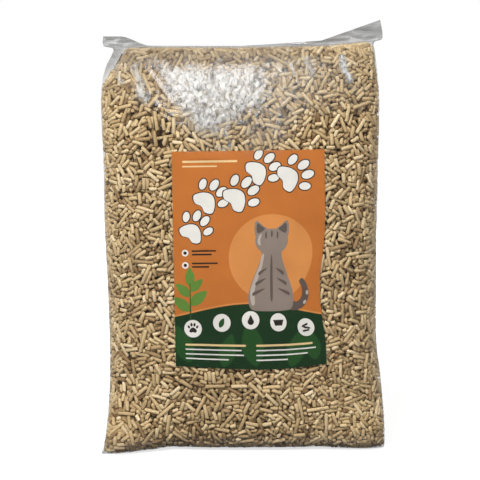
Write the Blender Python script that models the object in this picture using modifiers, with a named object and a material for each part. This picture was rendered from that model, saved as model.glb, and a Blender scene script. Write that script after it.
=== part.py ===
"""Clear film pillow bag of wood pellets, standing upright, with a printed A4 sheet behind its front.

Metres, +Z up. The origin is the middle of the bag's footprint, and the front faces -Y.
"""

import math

import bmesh
import bpy
from mathutils import Vector
from mathutils.bvhtree import BVHTree

# Driving dimensions
FILM_THICKNESS = 0.00015
SEAL_THICKNESS = 0.0006
LABEL_WIDTH = 0.210
LABEL_HEIGHT = 0.297
LABEL_THICKNESS = 0.0002
LABEL_CLEARANCE = 0.0007
VENT_SIZE = 0.003

# The bag from its bottom seal to its top seal. Each station is a ring of film: its height at mid width,
# its front and back at mid width, its squareness, and where it meets the left and right folds (x, z).
# The last rings rise at the folds into the two ears of loose film beside the top seal.
STATIONS = (
    (0.0000, -SEAL_THICKNESS / 2, SEAL_THICKNESS / 2, 2.6, (-0.1985, 0.0000), (0.2015, 0.0000)),
    (0.0000, -0.038, 0.042, 2.6, (-0.2000, 0.0000), (0.2025, 0.0000)),
    (0.0050, -0.052, 0.056, 2.6, (-0.1985, 0.0060), (0.2035, 0.0060)),
    (0.0180, -0.063, 0.066, 2.7, (-0.1965, 0.0180), (0.2035, 0.0180)),
    (0.0450, -0.070, 0.072, 2.9, (-0.1945, 0.0450), (0.2030, 0.0450)),
    (0.0900, -0.074, 0.075, 3.0, (-0.1945, 0.0900), (0.2005, 0.0900)),
    (0.1500, -0.075, 0.076, 3.1, (-0.1940, 0.1500), (0.1930, 0.1500)),
    (0.2300, -0.073, 0.075, 3.1, (-0.1960, 0.2300), (0.1915, 0.2300)),
    (0.3200, -0.068, 0.071, 3.1, (-0.1990, 0.3200), (0.1910, 0.3200)),
    (0.4000, -0.062, 0.065, 3.1, (-0.1990, 0.4000), (0.1915, 0.4000)),
    (0.4600, -0.055, 0.058, 3.0, (-0.2015, 0.4600), (0.1925, 0.4600)),
    (0.5050, -0.046, 0.049, 2.8, (-0.2015, 0.5050), (0.1915, 0.5070)),
    (0.5350, -0.037, 0.040, 2.8, (-0.1960, 0.5360), (0.1880, 0.5410)),
    (0.5550, -0.027, 0.032, 2.8, (-0.1860, 0.5560), (0.1850, 0.5635)),
    (0.5665, -0.013, 0.022, 2.8, (-0.1835, 0.5660), (0.1835, 0.5750)),
    (0.5690, -SEAL_THICKNESS / 2, SEAL_THICKNESS / 2, 2.4, (-0.1970, 0.5700), (0.1950, 0.5810)),
    (0.5705, -SEAL_THICKNESS / 2, SEAL_THICKNESS / 2, 2.4, (-0.1970, 0.5830), (0.1915, 0.6060)),
)
FLOOR_STATION = 1
FILL_TOP_STATION = 14
RINGS_BETWEEN_STATIONS = 2
COLUMNS = 20

# The welded band lies back between the ears, behind the crest of the fill
BAND_LEAN = 0.010
BAND_STATION = 15
# Where the left ear begins and where it reaches its full height, as shares of the half width
LEFT_EAR = (0.66, 0.88)
# Where the right ear begins, and the share of its height that the seam gains before it
RIGHT_EAR_START = 0.58
RIGHT_SLOPE = 0.2
# How far the left and right bottom corners spread forward over the floor, and up to what height
CORNER_FORWARD = (-0.0620, -0.031)
CORNER_HEIGHT = 0.100
CORNER_START = 0.53
# How far the pellets stay out of the flat corners under the ears
FILL_CORNER_GAP = 0.012

# The sheet of paper: middle of its face, and its slight turn in the bag
LABEL_X = 0.0085
LABEL_Z = 0.277
LABEL_TURN = math.radians(0.9)
LABEL_CELLS = (12, 16)

# Four vent slits through the back, in one row under the top seal
VENT_X = (-0.105, -0.035, 0.035, 0.105)
VENT_Z = 0.505

FILM_COLOUR = (0.86, 0.87, 0.86, 0.35)
PELLET_COLOUR = (0.62, 0.46, 0.27, 1.0)
LABEL_COLOUR = (0.80, 0.32, 0.09, 1.0)


def smooth_step(low, high, value):
    """0 below low, 1 above high, and an easy curve between them."""
    share = min(1.0, max(0.0, (value - low) / (high - low)))
    return share * share * (3.0 - 2.0 * share)


def curve_value(before, start, end, after, share):
    """A Catmull-Rom curve from start to end."""
    slope_start = (end - before) / 2.0
    slope_end = (after - start) / 2.0
    cubed = share ** 3
    squared = share ** 2
    return (
        (2.0 * cubed - 3.0 * squared + 1.0) * start
        + (cubed - 2.0 * squared + share) * slope_start
        + (3.0 * squared - 2.0 * cubed) * end
        + (cubed - squared) * slope_end
    )


def flat_row(station):
    """A station as one plain list: height, front, back, squareness, left x and z, right x and z."""
    height, front, back, squareness, left, right = station
    return (height, front, back, squareness, *left, *right)


def ring_at(position):
    """The ring at a position counted in stations, smooth between them above the floor."""
    index = min(int(position), len(STATIONS) - 2)
    share = position - index
    rows = [flat_row(STATIONS[min(max(index + step, 0), len(STATIONS) - 1)]) for step in (-1, 0, 1, 2)]
    if index < FLOOR_STATION:
        return [start + (end - start) * share for start, end in zip(rows[1], rows[2])]
    if index == FLOOR_STATION:
        rows[0] = rows[1]
    return [curve_value(*values, share) for values in zip(*rows)]


def film_point(position, across, side, corner_gap=0.0):
    """A point of the film: across runs from -1 at the left fold to 1, side is -1 in front and 1 behind."""
    height, front, back, squareness, left_x, left_z, right_x, right_z = ring_at(position)
    left_x += corner_gap
    right_x -= corner_gap
    x = left_x + (right_x - left_x) * (across + 1.0) / 2.0
    z = height
    z += (left_z - height) * smooth_step(*LEFT_EAR, -across)
    slope = RIGHT_SLOPE * min(1.0, max(0.0, across / RIGHT_EAR_START))
    ear = (1.0 - RIGHT_SLOPE) * max(0.0, (across - RIGHT_EAR_START) / (1.0 - RIGHT_EAR_START))
    z += (right_z - height) * (slope + ear)
    fullness = math.sqrt(max(0.0, 1.0 - abs(across) ** squareness))
    seal = SEAL_THICKNESS / 2.0
    depth = abs(front if side < 0 else back)
    corner = max(0.0, (abs(across) - CORNER_START) / (1.0 - CORNER_START))
    corner *= smooth_step(CORNER_HEIGHT, 0.0, z)
    y = side * (seal + max(0.0, depth - seal) * fullness)
    y += CORNER_FORWARD[0 if across < 0 else 1] * corner
    lean = BAND_LEAN * smooth_step(BAND_STATION - 1.0, BAND_STATION, position)
    y += lean * smooth_step(0.95, 0.45, abs(across))
    return Vector((x, y, z))


def column_positions():
    """Across positions from fold to fold, closer together where the sides turn round."""
    return [math.sin(math.pi * (step / COLUMNS - 0.5)) for step in range(COLUMNS + 1)]


def ring_positions(first, last):
    """Ring positions between two stations."""
    steps = (last - first) * RINGS_BETWEEN_STATIONS
    return [first + step / RINGS_BETWEEN_STATIONS for step in range(steps + 1)]


def pillow_mesh(name, positions, gap_at):
    """A closed pillow: each ring runs across the front and back again behind, and both ends are closed."""
    mesh = bpy.data.meshes.new(name)
    shape = bmesh.new()
    rings = []
    for position in positions:
        gap = gap_at(position)
        front = [film_point(position, across, -1, gap) for across in column_positions()]
        back = [film_point(position, across, 1, gap) for across in reversed(column_positions())]
        rings.append([shape.verts.new(point) for point in front + back])
    size = len(rings[0])
    for lower, upper in zip(rings, rings[1:]):
        for step in range(size):
            following = (step + 1) % size
            shape.faces.new((lower[step], lower[following], upper[following], upper[step]))
    for ring in (rings[0], rings[-1]):
        for step in range(COLUMNS):
            shape.faces.new((ring[step], ring[step + 1], ring[size - 2 - step], ring[size - 1 - step]))
    bmesh.ops.recalc_face_normals(shape, faces=shape.faces)
    shape.to_mesh(mesh)
    shape.free()
    return mesh


def add_object(name, mesh, collection, material):
    """An object for one sub-part, with its material."""
    mesh.materials.append(material)
    item = bpy.data.objects.new(name, mesh)
    collection.objects.link(item)
    return item


def finish_material(name, colour, roughness):
    """A plain Principled material."""
    material = bpy.data.materials.new(name)
    material.use_nodes = True
    shader = material.node_tree.nodes["Principled BSDF"]
    shader.inputs["Base Color"].default_value = colour
    shader.inputs["Alpha"].default_value = colour[3]
    shader.inputs["Roughness"].default_value = roughness
    shader.inputs["Metallic"].default_value = 0.0
    material.diffuse_color = colour
    return material


def cut_vents(mesh):
    """Opens a small slit in the back face nearest each vent place: an inset leaves VENT_SIZE of it."""
    shape = bmesh.new()
    shape.from_mesh(mesh)
    for vent_x in VENT_X:
        backs = [face for face in shape.faces if face.normal.y > 0.5]
        place = Vector((vent_x, VENT_Z))
        nearest = min(backs, key=lambda face: (face.calc_center_median().xz - place).length)
        short_side = min(edge.calc_length() for edge in nearest.edges)
        bmesh.ops.inset_individual(shape, faces=[nearest], thickness=(short_side - VENT_SIZE) / 2.0)
        bmesh.ops.delete(shape, geom=[nearest], context="FACES")
    shape.to_mesh(mesh)
    shape.free()


def shrink_inwards(mesh, distance):
    """Moves every vertex in along its normal."""
    moved = [vertex.co - vertex.normal * distance for vertex in mesh.vertices]
    for vertex, place in zip(mesh.vertices, moved):
        vertex.co = place


def build_film_bag(collection):
    """The film tube with its two welded ends: an outer skin with a thickness inwards, open at the vents."""
    last = len(STATIONS) - 1
    mesh = pillow_mesh("film_bag", ring_positions(0, last), lambda position: 0.0)
    cut_vents(mesh)
    bag = add_object("film_bag", mesh, collection, finish_material("clear_film", FILM_COLOUR, 0.12))
    wall = bag.modifiers.new("film_wall", "SOLIDIFY")
    wall.thickness = FILM_THICKNESS
    wall.offset = -1.0
    wall.use_rim = True
    return bag


def build_pellet_fill(collection):
    """The pellets as one body, which fills the film and leaves the ears and the top corners empty."""

    def corner_gap(position):
        return FILL_CORNER_GAP * smooth_step(FILL_TOP_STATION - 1.5, FILL_TOP_STATION, position)

    mesh = pillow_mesh("pellet_fill", ring_positions(FLOOR_STATION, FILL_TOP_STATION), corner_gap)
    shrink_inwards(mesh, FILM_THICKNESS + 2.0 * LABEL_CLEARANCE + LABEL_THICKNESS)
    return add_object("pellet_fill", mesh, collection, finish_material("wood_pellets", PELLET_COLOUR, 0.85))


def build_label_sheet(collection, film_mesh):
    """The printed sheet: a paper rectangle between the film and the pellets that follows the bag's front."""
    columns, rows = LABEL_CELLS
    mesh = bpy.data.meshes.new("label_sheet")
    film = bmesh.new()
    film.from_mesh(film_mesh)
    film_front = BVHTree.FromBMesh(film)
    film.free()
    shape = bmesh.new()
    bmesh.ops.create_grid(shape, x_segments=columns, y_segments=rows, size=0.5)
    for vertex in shape.verts:
        along = vertex.co.x * LABEL_WIDTH
        up = vertex.co.y * LABEL_HEIGHT
        x = LABEL_X + along * math.cos(LABEL_TURN) - up * math.sin(LABEL_TURN)
        z = LABEL_Z + along * math.sin(LABEL_TURN) + up * math.cos(LABEL_TURN)
        front = film_front.ray_cast(Vector((x, -1.0, z)), Vector((0.0, 1.0, 0.0)))[0]
        vertex.co = front + Vector((0.0, FILM_THICKNESS + LABEL_CLEARANCE, 0.0))
    bmesh.ops.recalc_face_normals(shape, faces=shape.faces)
    if sum(face.normal.y for face in shape.faces) > 0.0:
        bmesh.ops.reverse_faces(shape, faces=shape.faces)
    shape.to_mesh(mesh)
    shape.free()
    paper_finish = finish_material("printed_paper", LABEL_COLOUR, 0.45)
    sheet = add_object("label_sheet", mesh, collection, paper_finish)
    paper = sheet.modifiers.new("paper", "SOLIDIFY")
    paper.thickness = LABEL_THICKNESS
    paper.offset = -1.0
    return sheet


def main():
    """Clears the scene and builds the bag, its pellets and its sheet."""
    for item in list(bpy.data.objects):
        bpy.data.objects.remove(item)
    collection = bpy.data.collections.new("cat_litter_bag")
    bpy.context.scene.collection.children.link(collection)
    bag = build_film_bag(collection)
    build_pellet_fill(collection)
    build_label_sheet(collection, bag.data)


main()
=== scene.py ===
"""Looks of a clear film bag of wood pellet cat litter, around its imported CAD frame.

Metres, with +Z up and the front towards -Y.
"""

import itertools
import math

import bmesh
import bpy
import numpy as np
from mathutils import Matrix, Vector, noise
from mathutils.bvhtree import BVHTree
from mathutils.geometry import delaunay_2d_cdt


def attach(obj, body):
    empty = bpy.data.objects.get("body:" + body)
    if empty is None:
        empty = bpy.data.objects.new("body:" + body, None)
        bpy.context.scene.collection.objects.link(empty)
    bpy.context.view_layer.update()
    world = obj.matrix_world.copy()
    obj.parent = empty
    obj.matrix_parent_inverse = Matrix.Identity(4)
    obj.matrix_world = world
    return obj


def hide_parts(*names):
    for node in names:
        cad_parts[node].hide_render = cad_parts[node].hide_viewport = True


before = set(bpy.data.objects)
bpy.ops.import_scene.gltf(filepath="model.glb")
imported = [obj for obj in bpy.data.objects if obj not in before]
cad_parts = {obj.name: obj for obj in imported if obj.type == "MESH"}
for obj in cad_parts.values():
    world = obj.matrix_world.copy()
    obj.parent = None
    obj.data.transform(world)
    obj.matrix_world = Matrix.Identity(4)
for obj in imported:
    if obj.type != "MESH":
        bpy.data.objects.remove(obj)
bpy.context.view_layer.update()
scene = bpy.context.scene

# The camera stands a good step in front of the bag, a little above its middle, and looks slightly down.
CAMERA_X = -0.005
CAMERA_AWAY = 1.60
CAMERA_DOWN = math.radians(7.0)
AIM_HEIGHT = 0.295
VIEW_ANGLE = math.radians(24.12)

camera = bpy.data.objects.new("camera", bpy.data.cameras.new("camera"))
camera.data.sensor_fit = "HORIZONTAL"
camera.data.angle = VIEW_ANGLE
camera.location = (CAMERA_X, -CAMERA_AWAY, AIM_HEIGHT + CAMERA_AWAY * math.tan(CAMERA_DOWN))
camera.rotation_euler = (math.pi / 2.0 - CAMERA_DOWN, 0.0, 0.0)
scene.collection.objects.link(camera)
scene.camera = camera


# The bag's form, which the film, the sheet and the heart of the fill share: a tube of film, welded across
# at its two ends, and filled until it stands. The rings run from the bottom weld to the top weld, each with
# its height, front and back at mid width, its squareness, and its left and right folds (x, z).
WELD = 0.0003
RINGS = np.array((
    (0.0000, WELD, WELD, 2.6, -0.1985, 0.0000, 0.2015, 0.0000),
    (0.0000, 0.038, 0.042, 2.6, -0.2000, 0.0000, 0.2025, 0.0000),
    (0.0050, 0.052, 0.056, 2.6, -0.1985, 0.0060, 0.2035, 0.0060),
    (0.0180, 0.063, 0.066, 2.7, -0.1965, 0.0180, 0.2035, 0.0180),
    (0.0450, 0.070, 0.072, 2.9, -0.1945, 0.0450, 0.2030, 0.0450),
    (0.0900, 0.074, 0.075, 3.0, -0.1945, 0.0900, 0.2005, 0.0900),
    (0.1500, 0.075, 0.076, 3.1, -0.1940, 0.1500, 0.1930, 0.1500),
    (0.2300, 0.073, 0.075, 3.1, -0.1960, 0.2300, 0.1915, 0.2300),
    (0.3200, 0.068, 0.071, 3.1, -0.1990, 0.3200, 0.1910, 0.3200),
    (0.4000, 0.062, 0.065, 3.1, -0.1990, 0.4000, 0.1915, 0.4000),
    (0.4600, 0.055, 0.058, 3.0, -0.2015, 0.4600, 0.1925, 0.4600),
    (0.5050, 0.046, 0.049, 2.8, -0.2015, 0.5050, 0.1915, 0.5070),
    (0.5350, 0.037, 0.040, 2.8, -0.1960, 0.5360, 0.1880, 0.5410),
    (0.5550, 0.027, 0.032, 2.8, -0.1860, 0.5560, 0.1850, 0.5635),
    (0.5665, 0.013, 0.022, 2.8, -0.1835, 0.5660, 0.1835, 0.5750),
    (0.5690, WELD, WELD, 2.4, -0.1970, 0.5700, 0.1950, 0.5810),
    (0.5705, WELD, WELD, 2.4, -0.1970, 0.5830, 0.1915, 0.6060),
))
FLOOR_RING = 1
BAND_RING = 15
BAND_LEAN = 0.010
BAND_ENDS = (0.45, 0.95)
LEFT_EAR = (0.66, 0.88)
RIGHT_EAR = 0.58
RIGHT_SLOPE = 0.2
CORNER_FORWARD = (-0.0620, -0.031)
CORNER_HEIGHT = 0.100
CORNER_START = 0.53


def ease(low, high, values):
    """0 below low, 1 above high, and an easy curve between them."""
    share = np.clip((values - low) / (high - low), 0.0, 1.0)
    return share * share * (3.0 - 2.0 * share)


def smooth_step(before, start, end, after, share):
    """A point of the smooth curve through four others, on its way from the second to the third."""
    slope_start, slope_end = (end - before) / 2.0, (after - start) / 2.0
    point = start + share * slope_start
    point = point + share ** 2 * (3.0 * (end - start) - 2.0 * slope_start - slope_end)
    return point + share ** 3 * (2.0 * (start - end) + slope_start + slope_end)


def rings_at(position):
    """Rings at positions counted in rings, smooth between them above the floor."""
    index = np.clip(position.astype(int), 0, len(RINGS) - 2)
    share = (position - index)[:, None]
    start, end = RINGS[index], RINGS[index + 1]
    before = RINGS[np.where(index == FLOOR_RING, index, np.maximum(index - 1, 0))]
    after = RINGS[np.minimum(index + 2, len(RINGS) - 1)]
    curve = smooth_step(before, start, end, after, share)
    return np.where(index[:, None] < FLOOR_RING, start + (end - start) * share, curve)


def bag_points(position, across, side):
    """Points of the bag: across is -1 at the left fold and 1 at the right, side -1 in front, 1 behind."""
    height, front, back, squareness, left_x, left_z, right_x, right_z = rings_at(position).T
    x = left_x + (right_x - left_x) * (across + 1.0) / 2.0
    z = height + (left_z - height) * ease(*LEFT_EAR, -across)
    slope = RIGHT_SLOPE * np.clip(across / RIGHT_EAR, 0.0, 1.0)
    ear = np.maximum(0.0, (across - RIGHT_EAR) / (1.0 - RIGHT_EAR))
    z += (right_z - height) * (slope + (1.0 - RIGHT_SLOPE) * ear)
    fullness = np.sqrt(np.maximum(0.0, 1.0 - np.abs(across) ** squareness))
    depth = np.where(side < 0, front, back)
    corner = np.maximum(0.0, (np.abs(across) - CORNER_START) / (1.0 - CORNER_START))
    corner *= 1.0 - ease(0.0, CORNER_HEIGHT, z)
    y = side * (WELD + np.maximum(0.0, depth - WELD) * fullness)
    y += np.where(across < 0, *CORNER_FORWARD) * corner
    y += BAND_LEAN * ease(BAND_RING - 1.0, BAND_RING, position) * (1.0 - ease(*BAND_ENDS, np.abs(across)))
    return np.stack([x, y, z], axis=1)


def tube_rings(positions, across):
    """Rings of the bag at positions, each along its front by the shares across, and back along its back."""
    rings = []
    for position in positions:
        where = np.full(len(across), position)
        rings.append(np.concatenate([bag_points(where, across, -1), bag_points(where, across[::-1], 1)]))
    return np.array(rings)


def round_steps(columns):
    """Shares across from fold to fold, closer together near the folds."""
    return np.sin(np.pi * (np.arange(columns + 1) / columns - 0.5))


def even_steps(points, values, count):
    """Values at even distances along a row of points."""
    along = np.concatenate([[0.0], np.cumsum(np.linalg.norm(np.diff(points, axis=0), axis=1))])
    return np.interp(np.linspace(0.0, along[-1], count), along, values)


# The pellets are pressed softwood, about 5.5 mm thick and broken to all lengths. The film squeezes them
# together, so the outer ones lie flat against it. Two to three layers of them lie round a heart that is
# painted dark as shade.
PELLET_RADIUS = 0.0027
PELLET_ROUNDING = 0.0018
LEAST_HALF = 0.0005
LENGTH_MEDIAN = 0.0138
LENGTH_SPREAD = 0.42
LENGTH_RANGE = (0.0065, 0.038)
SHELL_DEPTH = 0.016
SHELL_FILLING = 0.55
END_ON_SHARE = 0.25
LYING_FLAT = 0.6
WALL_SLACK = 0.0034
SLACK_POWER = 1.5
SLACK_FOOT = (0.010, 0.040)
SLACK_TOP = (0.530, 0.555)
SLACK_SIDES = (0.160, 0.180)
BEAD_STEP = 0.003
BEAD_REACH = 0.0078
SETTLE_ROUNDS = 150
ROUNDS_BETWEEN_SEARCHES = 5
OUTWARD_PUSH = 0.00009
PUSH_SHARE = 0.7
GRID_PITCH = 0.005
FILM_TO_PELLETS = 0.0005
SHEET_ROOM = 0.0012
SHEET_ZONE = ((0.0085, 0.112), (0.277, 0.155))
FILL_TOP = 14.97
CORNER_GAPS = (0.075, 0.005)
CORNER_GAP_HEIGHTS = (0.508, 0.560)
FORM_COLUMNS = 40
FORM_ROWS = 90

draw = np.random.default_rng(6)


def filled_form():
    """The space that pellets can reach, as a closed tube. They leave the upper corners empty."""
    rings = tube_rings(np.linspace(FLOOR_RING, FILL_TOP, FORM_ROWS), round_steps(FORM_COLUMNS))
    gaps = np.where(rings[..., 0] < 0.0, *CORNER_GAPS)
    rings[..., 0] *= 1.0 - gaps * ease(*CORNER_GAP_HEIGHTS, rings[..., 2])
    return tube_mesh("filled_form", rings)


def tube_mesh(name, rings):
    """A tube from rings, each along its front and back along its back, zipped shut at both ends."""
    rows, size = rings.shape[:2]
    columns = size // 2 - 1
    faces = []
    for row in range(rows - 1):
        for step in range(size):
            following = (step + 1) % size
            low, high = row * size, (row + 1) * size
            faces.append((low + step, low + following, high + following, high + step))
    for start, flip in ((0, True), ((rows - 1) * size, False)):
        for step in range(columns):
            corners = (step, step + 1, size - 2 - step, size - 1 - step)
            corners = [start + corner for corner in corners]
            faces.append(tuple(reversed(corners)) if flip else tuple(corners))
    mesh = bpy.data.meshes.new(name)
    mesh.from_pydata(rings.reshape(-1, 3).tolist(), [], faces)
    mesh.shade_smooth()
    return mesh


def mesh_arrays(mesh):
    """The vertices and the triangles of a mesh of triangles."""
    mesh.calc_loop_triangles()
    places = np.empty(len(mesh.vertices) * 3)
    mesh.vertices.foreach_get("co", places)
    triangles = np.empty(len(mesh.loop_triangles) * 3, dtype=np.int64)
    mesh.loop_triangles.foreach_get("vertices", triangles)
    return places.reshape(-1, 3), triangles.reshape(-1, 3)


def depth_grid(mesh):
    """A grid of the depth under a closed surface, with the depth's slope: its low corner and its values."""
    places, triangles = mesh_arrays(mesh)
    tree = BVHTree.FromPolygons(places.tolist(), triangles.tolist())
    low = places.min(axis=0) - 2 * GRID_PITCH
    counts = np.ceil((places.max(axis=0) + 2 * GRID_PITCH - low) / GRID_PITCH).astype(int) + 1
    depth = np.empty(counts)
    levels = low[1] + np.arange(counts[1]) * GRID_PITCH
    for column, row in np.ndindex(counts[0], counts[2]):
        start = Vector((low[0] + column * GRID_PITCH, low[1], low[2] + row * GRID_PITCH))
        walls = []
        hit = tree.ray_cast(start, Vector((0.0, 1.0, 0.0)))[0]
        while hit is not None:
            walls.append(hit.y)
            hit = tree.ray_cast(hit + Vector((0.0, 1e-6, 0.0)), Vector((0.0, 1.0, 0.0)))[0]
        inside = np.searchsorted(walls, levels) % 2 == 1
        distance = [tree.find_nearest(Vector((start.x, level, start.z)))[3] for level in levels]
        depth[column, :, row] = np.where(inside, distance, -np.array(distance))
    slope = np.gradient(depth, GRID_PITCH)
    return low, np.stack([depth, *slope], axis=-1)


def sample_grid(grid, points):
    """Depth and inward direction at points, smooth between the grid's values."""
    low, values = grid
    place = (points - low) / GRID_PITCH
    cell = np.clip(np.floor(place).astype(int), 0, np.array(values.shape[:3]) - 2)
    share = np.clip(place - cell, 0.0, 1.0)
    total = np.zeros((len(points), values.shape[3]))
    for corner in itertools.product((0, 1), repeat=3):
        weight = np.prod(np.where(corner, share, 1.0 - share), axis=1)
        at = cell + np.array(corner)
        total += weight[:, None] * values[at[:, 0], at[:, 1], at[:, 2]]
    inward = total[:, 1:]
    return total[:, 0], inward / np.maximum(np.linalg.norm(inward, axis=1), 1e-6)[:, None]


def unit(vectors):
    """Vectors at length 1."""
    return vectors / np.maximum(np.linalg.norm(vectors, axis=-1, keepdims=True), 1e-9)


def scatter_pellets(mesh):
    """Pellets at random in the shell under the fill's surface: centres, directions and lengths."""
    places, triangles = mesh_arrays(mesh)
    corners = places[triangles]
    across = np.cross(corners[:, 1] - corners[:, 0], corners[:, 2] - corners[:, 0])
    areas = np.linalg.norm(across, axis=1) / 2.0
    mean_length = LENGTH_MEDIAN * math.exp(LENGTH_SPREAD ** 2 / 2.0)
    pellet_volume = math.pi * PELLET_RADIUS ** 2 * mean_length
    count = int(areas.sum() * SHELL_DEPTH * SHELL_FILLING / pellet_volume)
    face = draw.choice(len(areas), size=count, p=areas / areas.sum())
    share = np.sort(draw.random((count, 2)), axis=1)
    weights = np.stack([share[:, 0], share[:, 1] - share[:, 0], 1.0 - share[:, 1]], axis=1)
    outward = unit(across[face])
    centre = (corners[face] * weights[:, :, None]).sum(axis=1)
    centre -= outward * draw.uniform(PELLET_RADIUS, SHELL_DEPTH, (count, 1))
    direction = unit(draw.normal(size=(count, 3)))
    lying = draw.random((count, 1)) > END_ON_SHARE
    rise = (direction * outward).sum(axis=1, keepdims=True)
    direction = unit(direction - np.where(lying, LYING_FLAT * rise, 0.0) * outward)
    length = np.clip(draw.lognormal(math.log(LENGTH_MEDIAN), LENGTH_SPREAD, count), *LENGTH_RANGE)
    return centre, direction, length


def near_pairs(places, pellet):
    """Pairs of beads of different pellets that are nearer each other than BEAD_REACH."""
    cell = np.floor((places - places.min(axis=0)) / BEAD_REACH).astype(np.int64) + 1
    rows = cell.max(axis=0) + 2
    strides = np.array([rows[1] * rows[2], rows[2], 1])
    key = cell @ strides
    order = np.argsort(key, kind="stable")
    sorted_key = key[order]
    firsts, seconds = [], []
    for step in itertools.product((-1, 0, 1), repeat=3):
        offset = int(np.array(step) @ strides)
        if offset < 0:
            continue
        start = np.searchsorted(sorted_key, key + offset, "left")
        counts = np.searchsorted(sorted_key, key + offset, "right") - start
        first = np.repeat(np.arange(len(key)), counts)
        within = np.arange(counts.sum()) - np.repeat(np.cumsum(counts) - counts, counts)
        second = order[np.repeat(start, counts) + within]
        apart = ((places[first] - places[second]) ** 2).sum(axis=1)
        keep = (pellet[first] != pellet[second]) & (apart < BEAD_REACH ** 2)
        if offset == 0:
            keep &= first < second
        firsts.append(first[keep])
        seconds.append(second[keep])
    return np.concatenate(firsts), np.concatenate(seconds)


def sum_rows(index, rows, size):
    """Rows added up by index."""
    return np.stack([np.bincount(index, rows[:, column], size) for column in range(3)], axis=1)


def rod_ends(centre, direction, half):
    """The two ends of rods, given their half lengths."""
    return np.stack([centre - direction * half[:, None], centre + direction * half[:, None]], axis=1)


def wall_distance(tips, slack):
    """How far inside the film each end of a pellet stays."""
    (middle_x, reach_x), (middle_z, reach_z) = SHEET_ZONE
    behind_sheet = (np.abs(tips[:, 0] - middle_x) < reach_x) & (np.abs(tips[:, 2] - middle_z) < reach_z)
    inner = ease(*SLACK_FOOT, tips[:, 2]) * (1.0 - ease(*SLACK_TOP, tips[:, 2]))
    inner *= 1.0 - ease(*SLACK_SIDES, np.abs(tips[:, 0]))
    room = np.where(behind_sheet & (tips[:, 1] < 0.0), SHEET_ROOM, slack * inner)
    return PELLET_RADIUS + FILM_TO_PELLETS + room


def settle_pellets(centre, direction, length, grid):
    """Pushes overlapping pellets apart and outwards against the film, as rods made of a row of beads."""
    half = np.maximum(length / 2.0 - PELLET_ROUNDING, LEAST_HALF)
    ends = rod_ends(centre, direction, half)
    counts = np.maximum(np.ceil(2.0 * half / BEAD_STEP).astype(int) + 1, 2)
    pellet = np.repeat(np.arange(len(centre)), counts)
    number = np.arange(counts.sum()) - np.repeat(np.cumsum(counts) - counts, counts)
    share = number / (counts[pellet] - 1)
    weights = np.stack([1.0 - share, share], axis=1)
    pull = weights / (weights ** 2).sum(axis=1, keepdims=True)
    slack = WALL_SLACK * draw.random(2 * len(centre)) ** SLACK_POWER
    for turn in range(SETTLE_ROUNDS):
        beads = (ends[pellet] * weights[:, :, None]).sum(axis=1)
        if turn % ROUNDS_BETWEEN_SEARCHES == 0:
            first, second = near_pairs(beads, pellet)
        gap = beads[first] - beads[second]
        distance = np.maximum(np.linalg.norm(gap, axis=1), 1e-6)
        touching = distance < 2.0 * PELLET_RADIUS
        one, two = first[touching], second[touching]
        shift = gap[touching] * ((PELLET_RADIUS - distance[touching] / 2.0) / distance[touching])[:, None]
        touches = sum(np.bincount(pellet[bead], minlength=len(ends)) for bead in (one, two))
        for side in (0, 1):
            moved = sum_rows(pellet[one], shift * pull[one, side, None], len(ends))
            moved -= sum_rows(pellet[two], shift * pull[two, side, None], len(ends))
            ends[:, side] += moved / np.maximum(1.0, 0.5 * touches)[:, None]
        inward = sample_grid(grid, ends.mean(axis=1))[1]
        ends -= inward[:, None] * OUTWARD_PUSH * max(0.0, 1.0 - turn / (PUSH_SHARE * SETTLE_ROUNDS))
        tips = ends.reshape(-1, 3)
        depth, inward = sample_grid(grid, tips)
        too_near = np.maximum(wall_distance(tips, slack) - depth, 0.0)
        ends += (inward * too_near[:, None]).reshape(-1, 2, 3)
        centre = ends.mean(axis=1)
        direction = unit(ends[:, 1] - ends[:, 0])
        ends = rod_ends(centre, direction, half)
    return centre, direction


# A pellet is a little rod with worn shoulders and broken ends. Three lengths of it, each broken in several
# ways, stand for all of them: the nearest length is picked and stretched a little.
SHORT_LENGTHS = (0.009, 0.015, 0.026)
BREAKS_PER_LENGTH = 4
PELLET_SIDES = 8
HIDDEN_SIDES = 6
OUTER_DEPTH = 0.0075
SHOULDER = 0.0009
SHOULDER_WIDTH = 0.80
HIDDEN_END_WIDTH = 0.95
SWELL = (0.99, 1.07)
DENTS = (0.95, 1.04)
SLANT = 0.0008
SPLINTERS = 0.0003
MAP_SCALE = 0.01
TONE = (0.51, 0.17)
# Painted shade: pellets deeper in the fill and pellets near the floor get a darker tone.
SHADE = 0.20
SHADE_DEPTH = (0.0035, 0.0085)
SHADE_HEIGHT = (0.008, 0.045)


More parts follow.
